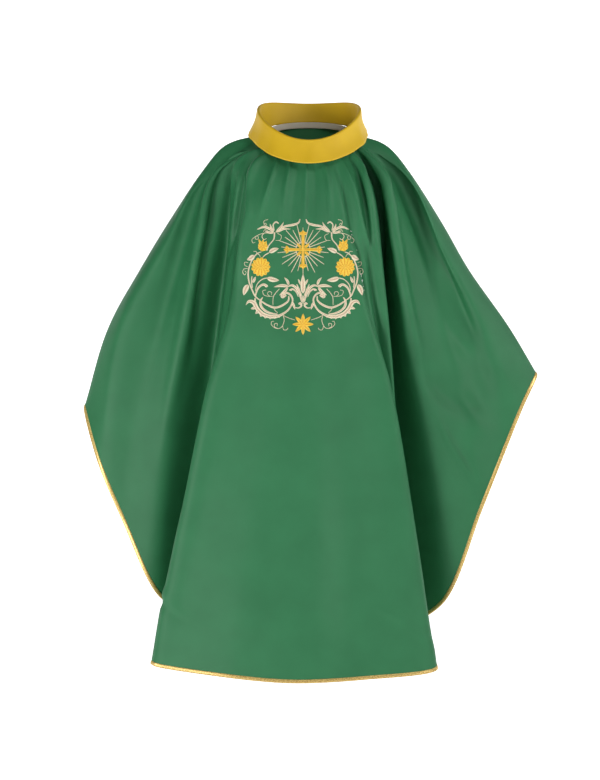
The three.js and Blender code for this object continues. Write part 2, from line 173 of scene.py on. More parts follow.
def round_neck(angle, outward=0.0, heights=NECK_HEIGHTS):
    """A point of a closed line round the neck: an oval whose height follows one cosine of the angle
    for its slope and one of twice the angle for its sides."""
    front, side, back = heights
    middle = (front + back) / 2
    turn = np.radians(angle)
    height = ((middle + side) / 2 + (front - back) / 2 * np.cos(turn)
              + (middle - side) / 2 * np.cos(2 * turn))
    return np.stack([(NECK_HALF[0] + outward) * np.sin(turn), -(NECK_HALF[1] + outward) * np.cos(turn),
                     height], axis=-1)


def fold_line(fold, shares):
    """Points of one fold line at the given shares of its length."""
    angle, *points = fold
    scale = np.array([SPREAD, -FULLNESS, -DROP]) / 100
    knots = np.vstack([round_neck(angle), np.array(points) * scale])
    fine = spline(knots, np.linspace(0, len(knots) - 1, 400))
    length = lengths_along(fine)
    return np.stack([np.interp(shares * length[-1], length, fine[:, axis]) for axis in range(3)], axis=-1)


def cloth_surface(across, shares):
    """The draped cloth: rows run round the garment through the fold lines at equal shares of their
    lengths. Returns points (row, column)."""
    knots = np.stack([fold_line(fold, shares) for fold in FOLDS], axis=1)
    return spline(knots, np.mod(across, len(FOLDS)), closed=True)


# Small folds that the cloth adds to the main ones, each as how far it stands out (below 0 is a
# groove), its half width, and the places it runs through: a number of fold lines across and a share
# of the drop.
SMALL_FOLDS = (
    (0.0085, 0.008, ((11.2, 0.00), (11.2, 0.06), (11.2, 0.12), (11.5, 0.17), (12.4, 0.27), (12.6, 0.45))),
    (-0.011, 0.008, ((10.5, 0.02), (10.6, 0.15), (10.9, 0.20), (11.0, 0.25), (11.2, 0.45))),
    (-0.008, 0.006, ((12.7, 0.00), (12.5, 0.05), (12.2, 0.09), (12.2, 0.18))),
    (0.0100, 0.008, ((13.4, 0.00), (13.2, 0.05), (12.9, 0.09), (12.8, 0.13), (12.6, 0.24))),
    (-0.016, 0.011, ((14.3, 0.00), (14.0, 0.10), (13.9, 0.17), (13.9, 0.40))),
    (0.0150, 0.016, ((15.5, 0.00), (15.2, 0.11), (15.0, 0.15), (15.0, 0.21), (15.1, 0.27), (15.3, 0.60))),
    (-0.020, 0.036, ((16.3, 0.04), (16.1, 0.18), (16.2, 0.25), (16.4, 0.36), (16.6, 0.50), (16.6, 0.95))),
    (0.0090, 0.030, ((15.9, 0.45), (16.1, 0.55), (16.6, 0.72), (17.1, 0.95))),
    (-0.011, 0.026, ((15.2, 0.50), (15.6, 0.63), (16.1, 0.76), (16.6, 0.98))),
    (0.0060, 0.010, ((15.3, 0.64), (15.5, 0.74), (15.9, 0.89), (16.1, 1.00))),
    (-0.011, 0.008, ((4.8, 0.00), (5.2, 0.07), (5.7, 0.11), (5.8, 0.17), (5.2, 0.22), (4.5, 0.30))),
    (0.0090, 0.009, ((5.7, 0.00), (6.2, 0.08), (6.8, 0.13), (7.0, 0.16), (7.0, 0.30))),
    (0.0110, 0.012, ((4.5, 0.00), (4.5, 0.10), (4.2, 0.16), (4.0, 0.26))),
    (-0.016, 0.015, ((3.4, 0.02), (3.2, 0.14), (3.2, 0.22), (3.2, 0.30), (3.3, 0.55))),
    (0.0120, 0.022, ((2.0, 0.02), (2.7, 0.17), (2.9, 0.30), (2.8, 0.80))),
    (-0.010, 0.028, ((0.8, 0.06), (1.6, 0.20), (2.0, 0.31), (2.1, 0.65))),
    (0.0070, 0.005, ((7.8, 0.00), (8.1, 0.05), (8.2, 0.16))),
    (0.0075, 0.005, ((8.8, 0.00), (8.9, 0.06), (8.9, 0.21))),
    (-0.004, 0.006, ((8.4, 0.00), (8.5, 0.05), (8.5, 0.17))),
    (0.0065, 0.005, ((9.8, 0.00), (9.8, 0.05), (9.7, 0.17))),
    (-0.004, 0.006, ((9.3, 0.00), (9.3, 0.05), (9.3, 0.15))),
    (0.0070, 0.006, ((7.0, 0.00), (7.3, 0.05), (7.5, 0.17))),
    (0.0110, 0.028, ((7.0, 0.30), (6.9, 0.50), (6.9, 0.70), (6.9, 1.40))),
    (0.0100, 0.022, ((11.5, 0.38), (11.4, 0.60), (11.3, 0.80), (11.3, 1.40))),
    (0.0050, 0.060, ((8.2, 0.30), (8.1, 0.60), (8.0, 1.40))),
    (-0.005, 0.050, ((9.3, 0.35), (9.4, 0.75), (9.4, 1.40))),
    (0.0035, 0.009, ((6.2, 0.80), (6.9, 0.86), (7.6, 0.91))),
    (-0.003, 0.009, ((6.4, 0.84), (7.1, 0.89), (7.9, 0.93))),
    (0.0030, 0.010, ((10.2, 0.86), (10.8, 0.93), (11.2, 1.00))),
)


def small_folds(points, across, shares):
    """How far the small folds stand out: a bell across each one, faded in and out along it."""
    steps = np.linalg.norm(np.diff(points, axis=1), axis=-1)
    place = np.concatenate([np.zeros((len(shares), 1)), np.cumsum(steps, axis=1)], axis=1)
    rows = np.arange(len(shares))
    height = np.zeros_like(place)
    for out, width, places in SMALL_FOLDS:
        knots = np.array([(fold, share, 0.0) for fold, share in places])
        line = spline(knots, np.linspace(0, len(knots) - 1, 60))
        column = np.interp(np.interp(shares, line[:, 1], line[:, 0]), across, np.arange(len(across)))
        left = np.floor(column).astype(int)
        middle = place[rows, left] + (place[rows, left + 1] - place[rows, left]) * (column - left)
        along = ((shares - line[0, 1]) / (line[-1, 1] - line[0, 1]))[:, None]
        fade = smooth(-0.05, 0.2, along) * (1 - smooth(0.5, 1.0, along)) * (along >= -0.05)
        height += out * fade * np.exp(-((place - middle[:, None]) / width) ** 2)
    return height


def ripple(points):
    """Soft unevenness of hung cloth: a few long waves that cross each other at odd angles, stronger
    towards the hem."""
    x, z = points[..., 0], points[..., 2]
    waves = (np.sin(9.0 * x + 2.1 * z + 0.4) * np.sin(5.2 * z - 3.0 * x + 1.0)
             + 0.6 * np.sin(19.0 * x - 6.0 * z + 2.0) * np.sin(8.7 * z + 4.1 * x)
             + 0.35 * np.sin(37.0 * x + 13.0 * z) * np.sin(17.0 * z - 9.0 * x + 0.7))
    return 0.0022 * waves * smooth(-0.15, -1.0, z)


def surface_normals(points, closed=False):
    """Outward unit normals of a grid of points, rows down and columns to the right."""
    if closed:
        wide = np.roll(points, -1, axis=1) - np.roll(points, 1, axis=1)
    else:
        wide = np.gradient(points, axis=1)
    return normalise(np.cross(np.gradient(points, axis=0), wide))


# ---------------------------------------------------------------------------------------------
# Meshes
# ---------------------------------------------------------------------------------------------


def new_piece(name, points, faces, material, slot, stands_for=(), uv=None):
    """Makes a piece from arrays of points and faces, with its own UV map in metres."""
    mesh = bpy.data.meshes.new(name)
    faces = faces if isinstance(faces, list) else faces.tolist()
    mesh.from_pydata(np.asarray(points).tolist(), [], faces)
    mesh.update()
    if uv is not None:
        corners = np.empty(len(mesh.loops), dtype=np.int32)
        mesh.loops.foreach_get("vertex_index", corners)
        layer = mesh.uv_layers.new(name="cloth")
        layer.data.foreach_set("uv", np.asarray(uv)[corners].astype(np.float32).ravel())
    mesh.polygons.foreach_set("use_smooth", np.ones(len(mesh.polygons), dtype=bool))
    mesh.materials.append(material)
    piece = bpy.data.objects.new(name, mesh)
    bpy.context.scene.collection.objects.link(piece)
    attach(piece, "root")
    if stands_for:
        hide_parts(*stands_for)
    return piece


def grid_faces(rows, columns, start=0, closed_rows=False, closed_columns=False):
    """Four-sided faces of a grid of points that is stored row by row."""
    row = np.arange(rows if closed_rows else rows - 1)[:, None]
    column = np.arange(columns if closed_columns else columns - 1)[None, :]
    below, beside = (row + 1) % rows, (column + 1) % columns
    corners = [row * columns + column, below * columns + column, below * columns + beside,
               row * columns + beside]
    return start + np.stack([np.broadcast_to(c, (row.size, column.size)) for c in corners],
                            axis=-1).reshape(-1, 4)


def thick_sheet(points, normals, thickness):
    """A closed sheet: the outer face, the inner face one thickness below it, and the four edges."""
    rows, columns = points.shape[:2]
    inner = points - normals * thickness
    count = rows * columns
    index = np.arange(count).reshape(rows, columns)
    rim = np.concatenate([index[0, :-1], index[:-1, -1], index[-1, :0:-1], index[:0:-1, 0]])
    following = np.roll(rim, -1)
    faces = np.concatenate([grid_faces(rows, columns), grid_faces(rows, columns, count)[:, ::-1],
                            np.stack([rim, following, following + count, rim + count], axis=-1)])
    return np.concatenate([points.reshape(-1, 3), inner.reshape(-1, 3)]), faces


def sheet_uv(points):
    """Lengths along the rows and down the columns of a grid, in metres."""
    across = np.zeros(points.shape[:2])
    down = np.zeros(points.shape[:2])
    across[:, 1:] = np.cumsum(np.linalg.norm(np.diff(points, axis=1), axis=-1), axis=1)
    across -= across[:, points.shape[1] // 2][:, None]
    down[1:] = np.cumsum(np.linalg.norm(np.diff(points, axis=0), axis=-1), axis=0)
    both = np.stack([across, down], axis=-1).reshape(-1, 2)
    return np.concatenate([both, both])


# ---------------------------------------------------------------------------------------------
# Materials
# ---------------------------------------------------------------------------------------------


def blank_material(name):
    """A new material with its nodes, its links and its surface shader."""
    material = bpy.data.materials.new(name)
    material.use_nodes = True
    nodes, links = material.node_tree.nodes, material.node_tree.links
    return material, nodes, links, nodes["Principled BSDF"]


def two_tones(nodes, links, shader, value, shade, colour):
    """Colours the shader from one tone to another as a value rises. Each tone is (value, colour)."""
    tones = nodes.new("ShaderNodeValToRGB")
    for element, (position, tone) in zip(tones.color_ramp.elements, (shade, colour)):
        element.position = position
        element.color = (*tone, 1)
    links.new(value, tones.inputs["Fac"])
    links.new(tones.outputs["Color"], shader.inputs["Base Color"])


def raise_surface(nodes, links, shader, height, strength, distance):
    """Bumps the shader's surface by a height."""
    bump = nodes.new("ShaderNodeBump")
    bump.inputs["Strength"].default_value = strength
    bump.inputs["Distance"].default_value = distance
    links.new(height, bump.inputs["Height"])
    links.new(bump.outputs["Normal"], shader.inputs["Normal"])


def woven_height(nodes, links, threads, vector):
    """Height of a plain weave: two sets of threads, each a wave across the other."""
    scale = nodes.new("ShaderNodeMapping")
    scale.inputs["Scale"].default_value = (threads, threads, threads)
    links.new(vector, scale.inputs["Vector"])
    waves = []
    for direction in ("X", "Y"):
        wave = nodes.new("ShaderNodeTexWave")
        wave.bands_direction = direction
        wave.inputs["Scale"].default_value = 0.314
        wave.inputs["Distortion"].default_value = 0.6
        wave.inputs["Detail"].default_value = 1.0
        links.new(scale.outputs["Vector"], wave.inputs["Vector"])
        waves.append(wave)
    join = nodes.new("ShaderNodeMath")
    join.operation = "MULTIPLY"
    links.new(waves[0].outputs["Fac"], join.inputs[0])
    links.new(waves[1].outputs["Fac"], join.inputs[1])
    return join.outputs["Value"]


def cloth_material(name, colour, shade, roughness, sheen, threads, specular=0.3):
    """Woven cloth: two close tones that drift over it, a fine weave and a soft sheen."""
    material, nodes, links, shader = blank_material(name)
    place = nodes.new("ShaderNodeTexCoord")
    drift = nodes.new("ShaderNodeTexNoise")
    drift.inputs["Scale"].default_value = 14.0
    drift.inputs["Detail"].default_value = 6.0
    links.new(place.outputs["Object"], drift.inputs["Vector"])
    two_tones(nodes, links, shader, drift.outputs["Fac"], (0.3, shade), (0.7, colour))
    weave = woven_height(nodes, links, threads, place.outputs["UV"])
    raise_surface(nodes, links, shader, weave, 0.25, 0.0004)
    shader.inputs["Roughness"].default_value = roughness
    shader.inputs["Sheen Weight"].default_value = sheen
    shader.inputs["Sheen Roughness"].default_value = 0.5
    shader.inputs["Specular IOR Level"].default_value = specular
    return material


def thread_material(name, colour, shade, roughness):
    """Satin stitch, with a UV map that runs along the stem and from -1 to 1 across it: painted shade along
    the middle, in the darker tone, as the shade of a groove down the stem, the colour towards both edges,
    and fine lines of thread that cross the stem."""
    material, nodes, links, shader = blank_material(name)
    place = nodes.new("ShaderNodeTexCoord")
    scale = nodes.new("ShaderNodeMapping")
    scale.inputs["Scale"].default_value = (1500, 1.2, 1)
    links.new(place.outputs["UV"], scale.inputs["Vector"])
    lines = nodes.new("ShaderNodeTexNoise")
    lines.inputs["Scale"].default_value = 1.0
    lines.inputs["Detail"].default_value = 2.0
    links.new(scale.outputs["Vector"], lines.inputs["Vector"])
    parts = nodes.new("ShaderNodeSeparateXYZ")
    links.new(place.outputs["UV"], parts.inputs["Vector"])
    distance = nodes.new("ShaderNodeMath")
    distance.operation = "ABSOLUTE"
    links.new(parts.outputs["Y"], distance.inputs[0])
    mixed = nodes.new("ShaderNodeMath")
    mixed.operation = "MULTIPLY_ADD"
    mixed.inputs[1].default_value = 0.9
    links.new(lines.outputs["Fac"], mixed.inputs[0])
    links.new(distance.outputs["Value"], mixed.inputs[2])
    # Painted shade: the darker tone along the middle of each stem stands for the shade in a groove, not for
    # the thread's colour.
    two_tones(nodes, links, shader, mixed.outputs["Value"], (0.50, shade), (0.92, colour))
    raise_surface(nodes, links, shader, lines.outputs["Fac"], 0.5, 0.0003)
    shader.inputs["Roughness"].default_value = roughness
    shader.inputs["Sheen Weight"].default_value = 0.1
    return material


# ---------------------------------------------------------------------------------------------
# Settings
# ---------------------------------------------------------------------------------------------


class ChasubleCloth(bpy.types.PropertyGroup):
    thickness: bpy.props.FloatProperty(
        name="Cloth thickness", description="Thickness of the cloth", default=0.0012, unit="LENGTH")
    columns: bpy.props.IntProperty(
        name="Columns", description="Faces across each panel", default=250)
    rows: bpy.props.IntProperty(name="Rows", description="Faces from neck to hem", default=180)
    colour: bpy.props.FloatVectorProperty(
        name="Cloth colour", description="Main colour of the panels", subtype="COLOR",
        default=(0.030, 0.188, 0.074))
    shade: bpy.props.FloatVectorProperty(
        name="Cloth shade", description="Darker tone of the panels", subtype="COLOR",
        default=(0.025, 0.165, 0.064))


class ChasubleTrim(bpy.types.PropertyGroup):
    collar_colour: bpy.props.FloatVectorProperty(
        name="Collar colour", description="Main colour of the collar", subtype="COLOR",
        default=(0.80, 0.52, 0.020))
    collar_shade: bpy.props.FloatVectorProperty(
        name="Collar shade", description="Darker tone of the collar", subtype="COLOR",
        default=(0.72, 0.45, 0.016))
    braid_width: bpy.props.FloatProperty(
        name="Braid width", description="Width of the hem braid", default=0.009, unit="LENGTH")
    tape_width: bpy.props.FloatProperty(
        name="Neck tape width", description="Depth of the tape inside the neck seam", default=0.014,
        unit="LENGTH")
    tape_inset: bpy.props.FloatProperty(
        name="Neck tape inset", description="How far the tape stands inside the neck seam",
        default=0.0034, unit="LENGTH")
    tape_thickness: bpy.props.FloatProperty(
        name="Tape thickness", description="Thickness of each tape", default=0.0008, unit="LENGTH")
    shoulder_length: bpy.props.FloatProperty(
        name="Shoulder tape length", description="Length of the tape along a shoulder seam",
        default=0.160, unit="LENGTH")
    shoulder_width: bpy.props.FloatProperty(
        name="Shoulder tape width", description="Width of the tape along a shoulder seam",
        default=0.012, unit="LENGTH")
    shoulder_gap: bpy.props.FloatProperty(
        name="Shoulder tape depth", description="How far the tape lies under the cloth's face",
        default=0.0048, unit="LENGTH")
    backing_radius: bpy.props.FloatProperty(
        name="Backing radius", description="Radius of the round backing", default=0.1455,
        unit="LENGTH")
    backing_thickness: bpy.props.FloatProperty(
        name="Backing thickness", description="Thickness of the backing", default=0.0006,
        unit="LENGTH")
    collar_layer: bpy.props.FloatProperty(
        name="Collar layer", description="Thickness of each collar layer", default=0.0008,
        unit="LENGTH")


# ---------------------------------------------------------------------------------------------
# The draped panels
# ---------------------------------------------------------------------------------------------


def even_columns(first, last, count):
    """Places across the garment, in fold lines, that lie evenly along a row halfway down."""
    fine = np.linspace(first, last, 1200)
    row = cloth_surface(fine, np.array([0.6]))[0]
    length = lengths_along(row)
    blend = 0.8 * length / length[-1] + 0.2 * np.linspace(0, 1, len(fine))
    return np.interp(np.linspace(0, 1, count + 1), blend, fine)


def drape(columns, rows):
    """The whole cloth as one ring of columns, with its small folds. Returns points, normals and the
    places of the columns."""
    front = even_columns(0, RIGHT_ARM, columns)
    back = even_columns(RIGHT_ARM, len(FOLDS), columns)
    across = np.concatenate([front[:-1], back[:-1]])
    shares = np.linspace(0, 1, rows + 1)
    points = cloth_surface(across, shares)
    normals = surface_normals(points, closed=True)
    relief = small_folds(points, across, shares) + ripple(points)
    points = points + normals * relief[..., None]
    return points, surface_normals(points, closed=True), across


cloth = {}


def panel_columns(columns):
    """Column numbers of the front and of the back panel; each ends on the arm lines."""
    front = np.arange(columns + 1)
    back = np.arange(columns, 2 * columns + 1) % (2 * columns)
    return {"front": front, "back": back}


class CHASUBLE_OT_panels(bpy.types.Operator):
    """Drape the front and back panels"""
    bl_idname = "chasuble.panels"
    bl_label = "Panels"

    def execute(self, context):
        settings = context.scene.chasuble_cloth
        points, normals, across = drape(settings.columns, settings.rows)
        cloth.update(points=points, normals=normals, across=across, columns=settings.columns)
        material = cloth_material("green crepe", settings.colour, settings.shade, 0.5, 0.0, 1400,
                                  specular=0.32)
        for side, picked in panel_columns(settings.columns).items():
            part, outward = points[:, picked], normals[:, picked]
            corners, faces = thick_sheet(part, outward, settings.thickness)
            piece = new_piece(f"{side}_cloth", corners, faces, material, "cloth",
                              [f"{side}_panel"], sheet_uv(part))
        return {"FINISHED"}


# ---------------------------------------------------------------------------------------------
# Hem braid
# ---------------------------------------------------------------------------------------------


def sweep(sections, closed=True):
    """A tube from a stack of closed sections (station, corner, axis), capped unless it closes on itself."""
    stations, corners = sections.shape[:2]
    faces = grid_faces(stations, corners, closed_rows=closed, closed_columns=True).tolist()
    if not closed:
        faces.append(list(range(corners))[::-1])
        faces.append(list(range((stations - 1) * corners, stations * corners)))
    return sections.reshape(-1, 3), faces


def hem_line(count):
    """Points along the hem at even lengths, with the cloth's outward normals and the way up into it."""
    points, normals = cloth["points"], cloth["normals"]
    loop = np.concatenate([points[-1], points[-1, :1]])
    outward = np.concatenate([normals[-1], normals[-1, :1]])
    length = lengths_along(loop)
    even = np.linspace(0, length[-1], count, endpoint=False)
    at = np.stack([np.interp(even, length, loop[:, axis]) for axis in range(3)], axis=-1)
    normal = normalise(np.stack([np.interp(even, length, outward[:, axis]) for axis in range(3)], axis=-1))
    along = normalise(np.roll(at, -1, axis=0) - np.roll(at, 1, axis=0))
    normal = normalise(normal - along * np.sum(normal * along, axis=1, keepdims=True))
    return at, normal, np.cross(normal, along), even


class CHASUBLE_OT_braid(bpy.types.Operator):
    """Fold the gold braid over the hem"""
    bl_idname = "chasuble.braid"
    bl_label = "Hem braid"

    def execute(self, context):
        settings = context.scene.chasuble_trim
        stitch = 0.0034          # one slant of the plait
        edge = 0.0012            # how far the braid reaches below the cloth's edge
        wrap, relief = 0.0009, 0.00045      # the braid's own thickness, and how far its plait stands out
        at, normal, up, length = hem_line(5200)
        thickness = context.scene.chasuble_cloth.thickness
        # The section is a flat loop round the hem edge: up the outside, over and down the inside.
        turn = np.linspace(0, 2 * np.pi, 14, endpoint=False)
        rise = settings.braid_width * (0.5 + 0.5 * np.cos(turn)) - edge
        out = np.sign(np.sin(turn)) * np.abs(np.sin(turn)) ** 0.5
        # The plait stands out where two waves that lean opposite ways along the braid both rise.
        phase = 2 * np.pi * length[:, None] / stitch
        lean = 2 * np.pi * rise[None, :] / settings.braid_width
        plait = np.abs(np.sin(phase / 2 + lean)) + np.abs(np.sin(phase / 2 - lean))
        half = thickness / 2 + wrap + relief * plait
        sections = (at[:, None, :] + up[:, None, :] * rise[None, :, None]
                    + normal[:, None, :] * (out[None, :] * half - thickness / 2)[..., None])
        corners, faces = sweep(sections)
        uv = np.stack(np.broadcast_arrays(length[:, None], rise[None, :]), axis=-1).reshape(-1, 2)
        material = braid_material("gold braid")
        new_piece("hem_braid", corners, faces, material, "trim", ["hem_binding"], uv)
        return {"FINISHED"}


def braid_material(name):
    """Metallic yarn: bright and dull gold in short slanting patches."""
    material, nodes, links, shader = blank_material(name)
    place = nodes.new("ShaderNodeTexCoord")
    scale = nodes.new("ShaderNodeMapping")
    scale.inputs["Scale"].default_value = (420, 420, 1)
    scale.inputs["Rotation"].default_value = (0, 0, math.radians(45))
    links.new(place.outputs["UV"], scale.inputs["Vector"])
    patches = nodes.new("ShaderNodeTexNoise")
    patches.inputs["Scale"].default_value = 1.0
    patches.inputs["Detail"].default_value = 3.0
    links.new(scale.outputs["Vector"], patches.inputs["Vector"])
    two_tones(nodes, links, shader, patches.outputs["Fac"], (0.36, (0.42, 0.22, 0.035)),
              (0.6, (0.88, 0.66, 0.24)))
    shader.inputs["Roughness"].default_value = 0.38
    shader.inputs["Metallic"].default_value = 0.45
    return material


# ---------------------------------------------------------------------------------------------
# Collar and tapes
# ---------------------------------------------------------------------------------------------

COLLAR_STAND = np.array([0.038, 0.060, 0.045])      # neck seam to rim, at front, sides and back
COLLAR_FALL = np.array([0.054, 0.059, 0.050])       # rim to lower edge
COLLAR_LEAN = 0.011              # how far the rim stands outside the neck seam
COLLAR_FLARE = 0.022             # how far the lower edge stands outside the rim
COLLAR_ROLL = 0.0045             # radius of the roll
COLLAR_MEAN = 0.12               # mean radius of the collar, for its UV map
RIM_HEIGHTS = NECK_HEIGHTS + COLLAR_STAND
EDGE_HEIGHTS = RIM_HEIGHTS - COLLAR_FALL


def collar_section(angle, depth, edge_lift=0.0):
    """One layer of the collar for every angle round the neck: up from the seam, round the roll in a
    half circle and down to the lower edge, at a depth below the visible face. The fall swells and
    its edge waves a little, by sines of the angle."""
    seam = round_neck(angle)
    rim = round_neck(angle, COLLAR_LEAN, RIM_HEIGHTS)
    edge = round_neck(angle, COLLAR_LEAN + COLLAR_FLARE, EDGE_HEIGHTS)
    turn = np.radians(angle)[:, None]
    outward = rim - seam
    outward[:, 2] = 0
    outward = normalise(outward)
    upward = np.array([0, 0, 1.0])
    radius = COLLAR_ROLL - depth
    lowest = seam + outward * depth + upward * 0.0003
    bend = np.linspace(0, np.pi, 11)
    rolled = (rim[:, None, :] - outward[:, None, :] * (radius * np.cos(bend))[None, :, None]
              + upward * (radius * np.sin(bend) - COLLAR_ROLL)[None, :, None])
    share = np.linspace(0, 1, 15)[1:]
    stand = lowest[:, None, :] * (1 - share[:-1, None]) + rolled[:, :1, :] * share[:-1, None]
    end = edge - outward * depth
    end = end + normalise(rolled[:, -1] - end) * edge_lift
    fall = rolled[:, -1:, :] * (1 - share[:, None]) + end[:, None, :] * share[:, None]
    swell = -0.0035 * np.sin(np.pi * share) * (0.4 + 0.6 * np.sin(turn) ** 2)
    wave = 0.0020 * np.sin(3 * turn + 0.8) + 0.0016 * np.sin(7 * turn) + 0.0009 * np.sin(17 * turn + 1)
    fall = fall + outward[:, None, :] * (swell + wave * share)[..., None]
    return np.concatenate([lowest[:, None, :], stand, rolled, fall], axis=1)


def collar_layer(name, depth, thickness, material, slot, node, edge_lift):
    """One closed layer of the collar: its outer face, and its inner face one thickness below."""
    angle = np.linspace(0, 360, 240, endpoint=False)
    outer = collar_section(angle, depth, edge_lift)
    inner = collar_section(angle, depth + thickness, edge_lift)[:, ::-1]
    ring = np.concatenate([outer, inner], axis=1)
    corners, faces = sweep(ring)
    around = np.broadcast_to((np.radians(angle) * COLLAR_MEAN)[:, None], ring.shape[:2])
    steps = np.linalg.norm(np.diff(ring[0], axis=0), axis=1)
    down = np.broadcast_to(np.concatenate([[0], np.cumsum(steps)])[None, :], ring.shape[:2])
    return new_piece(name, corners, [face[::-1] for face in faces], material, slot, [node],
                     np.stack([around, down], axis=-1).reshape(-1, 2))


class CHASUBLE_OT_collar(bpy.types.Operator):
    """Roll the collar, with its hidden layers"""
    bl_idname = "chasuble.collar"
    bl_label = "Collar"

    def execute(self, context):
        settings = context.scene.chasuble_trim
        gold = cloth_material("gold crepe", settings.collar_colour, settings.collar_shade, 0.5, 0.0, 1300)
        plain = cloth_material("interlining", (0.80, 0.77, 0.68), (0.74, 0.70, 0.61), 0.9, 0.0, 900)
        layers = (("collar_roll", 0.0, gold, "collar", "collar_upper", 0.0, "collar_stiffening"),
                  ("collar_stiffening", 0.0011, plain, "lining", "collar_interlining", 0.0025,
                   "collar_facing"),
                  ("collar_facing", 0.0022, gold, "collar", "collar_under", 0.0012, "neck_binding"))
        for name, depth, material, slot, node, lift, below in layers:
            layer = collar_layer(name, depth, settings.collar_layer, material, slot, node, lift)
        return {"FINISHED"}


class CHASUBLE_OT_tapes(bpy.types.Operator):
    """Sew in the neck tape and the tapes along the shoulder seams"""
    bl_idname = "chasuble.tapes"
    bl_label = "Tapes"

    def execute(self, context):
        settings = context.scene.chasuble_trim
        twill = cloth_material("cotton tape", (0.74, 0.70, 0.60), (0.66, 0.61, 0.50), 0.85, 0.1, 1100)
        angle = np.linspace(0, 360, 200, endpoint=False)
        down = np.linspace(0, settings.tape_width, 6)
        drop = down[None, :, None] * np.array([0, 0, -1.0])
        outer = round_neck(angle, -settings.tape_inset)[:, None, :] + drop
        inner = round_neck(angle, -settings.tape_inset - settings.tape_thickness)[:, None, :] + drop
        corners, faces = sweep(np.concatenate([outer, inner[:, ::-1]], axis=1))
        uv = np.stack(np.broadcast_arrays(np.radians(angle)[:, None] * 0.1,
                                          np.concatenate([down, down[::-1]])[None, :]), axis=-1)
        binding = new_piece("neck_binding", corners, [face[::-1] for face in faces], twill, "lining",
                            ["neck_tape"], uv.reshape(-1, 2))
        points, normals = cloth["points"], cloth["normals"]
        for side, seam in (("left", 0), ("right", cloth["columns"])):
            length = np.linalg.norm(points[:, seam] - points[0, seam], axis=-1)
            rows = np.flatnonzero((length > 0.006) & (length < settings.shoulder_length))
            line = points[rows, seam]
            outward = normals[rows, seam]
            beside = [normalise(points[rows, (seam + step) % points.shape[1]] - line) for step in (-4, 4)]
            half = settings.shoulder_width / 2
            strip = np.stack([line + beside[0] * half, line, line + beside[1] * half], axis=1)
            strip = strip - outward[:, None, :] * settings.shoulder_gap
            facing = np.repeat(outward[:, None, :], 3, axis=1)
            corners, faces = thick_sheet(strip, facing, settings.tape_thickness)
            tape = new_piece(f"shoulder_stay_{side}", corners, faces, twill, "lining",
                             [f"shoulder_tape_{side}"], sheet_uv(strip))
        return {"FINISHED"}


# ---------------------------------------------------------------------------------------------
# Embroidery
# ---------------------------------------------------------------------------------------------

# The drawing is in millimetres from the middle of the embroidery, x across and y up, and is placed
# by the middles of the sun and of the star flower.
SUN_UP = 55.0
STAR_DOWN = -123.0
SUN_MIDDLE = (SUN_LOW + SUN_HIGH) / 2
STAR_MIDDLE = (STAR_LOW + STAR_HIGH) / 2
DRAWING_SCALE = float((SUN_MIDDLE[2] - STAR_MIDDLE[2]) / (SUN_UP - STAR_DOWN))      # metres per unit
THREAD_SPREAD = 0.84             # stitches cover this share of the widths drawn below
THREAD = 0.0009                  # how far satin stitch stands above the cloth
PART_SHIFT = 0.00137             # moves the thread lines of each part, so that no two parts match


def grid_value(grid, row, column):
    """Values of a grid between its points, in proportion to how near each corner is."""
    top = np.clip(np.floor(row).astype(int), 0, grid.shape[0] - 2)
    left = np.clip(np.floor(column).astype(int), 0, grid.shape[1] - 2)
    down, across = (row - top)[..., None], (column - left)[..., None]
    upper = grid[top, left] * (1 - across) + grid[top, left + 1] * across
    lower = grid[top + 1, left] * (1 - across) + grid[top + 1, left + 1] * across
    return upper * (1 - down) + lower * down


def on_chest(x, y, height):
    """Places points of the drawing on the front of the cloth, at a height above it. The place in the
    cloth's grid is found by repeated straight-line steps towards the wanted x and z."""
    columns = cloth["columns"]
    points = cloth["points"][:, :columns + 1]
    normals = cloth["normals"][:, :columns + 1]
    goal_x = SUN_MIDDLE[0] + x * DRAWING_SCALE
    goal_z = SUN_MIDDLE[2] + (y - SUN_UP) * DRAWING_SCALE
    row = np.full(x.shape, points.shape[0] * 0.25)
    column = np.full(x.shape, columns * 0.5)
    for _ in range(14):
        here = grid_value(points, row, column)
        by_row = grid_value(points, row + 0.5, column) - grid_value(points, row - 0.5, column)
        by_column = grid_value(points, row, column + 0.5) - grid_value(points, row, column - 0.5)
        off_x, off_z = goal_x - here[..., 0], goal_z - here[..., 2]
        area = by_row[..., 0] * by_column[..., 2] - by_row[..., 2] * by_column[..., 0]
        area = np.where(np.abs(area) < 1e-9, 1e-9, area)
        step_row = (off_x * by_column[..., 2] - off_z * by_column[..., 0]) / area
        step_column = (off_z * by_row[..., 0] - off_x * by_row[..., 2]) / area
        row = np.clip(row + np.clip(step_row, -12, 12), 2, points.shape[0] - 3)
        column = np.clip(column + np.clip(step_column, -12, 12), 2, columns - 3)
    return grid_value(points, row, column) + normalise(grid_value(normals, row, column)) * height[..., None]


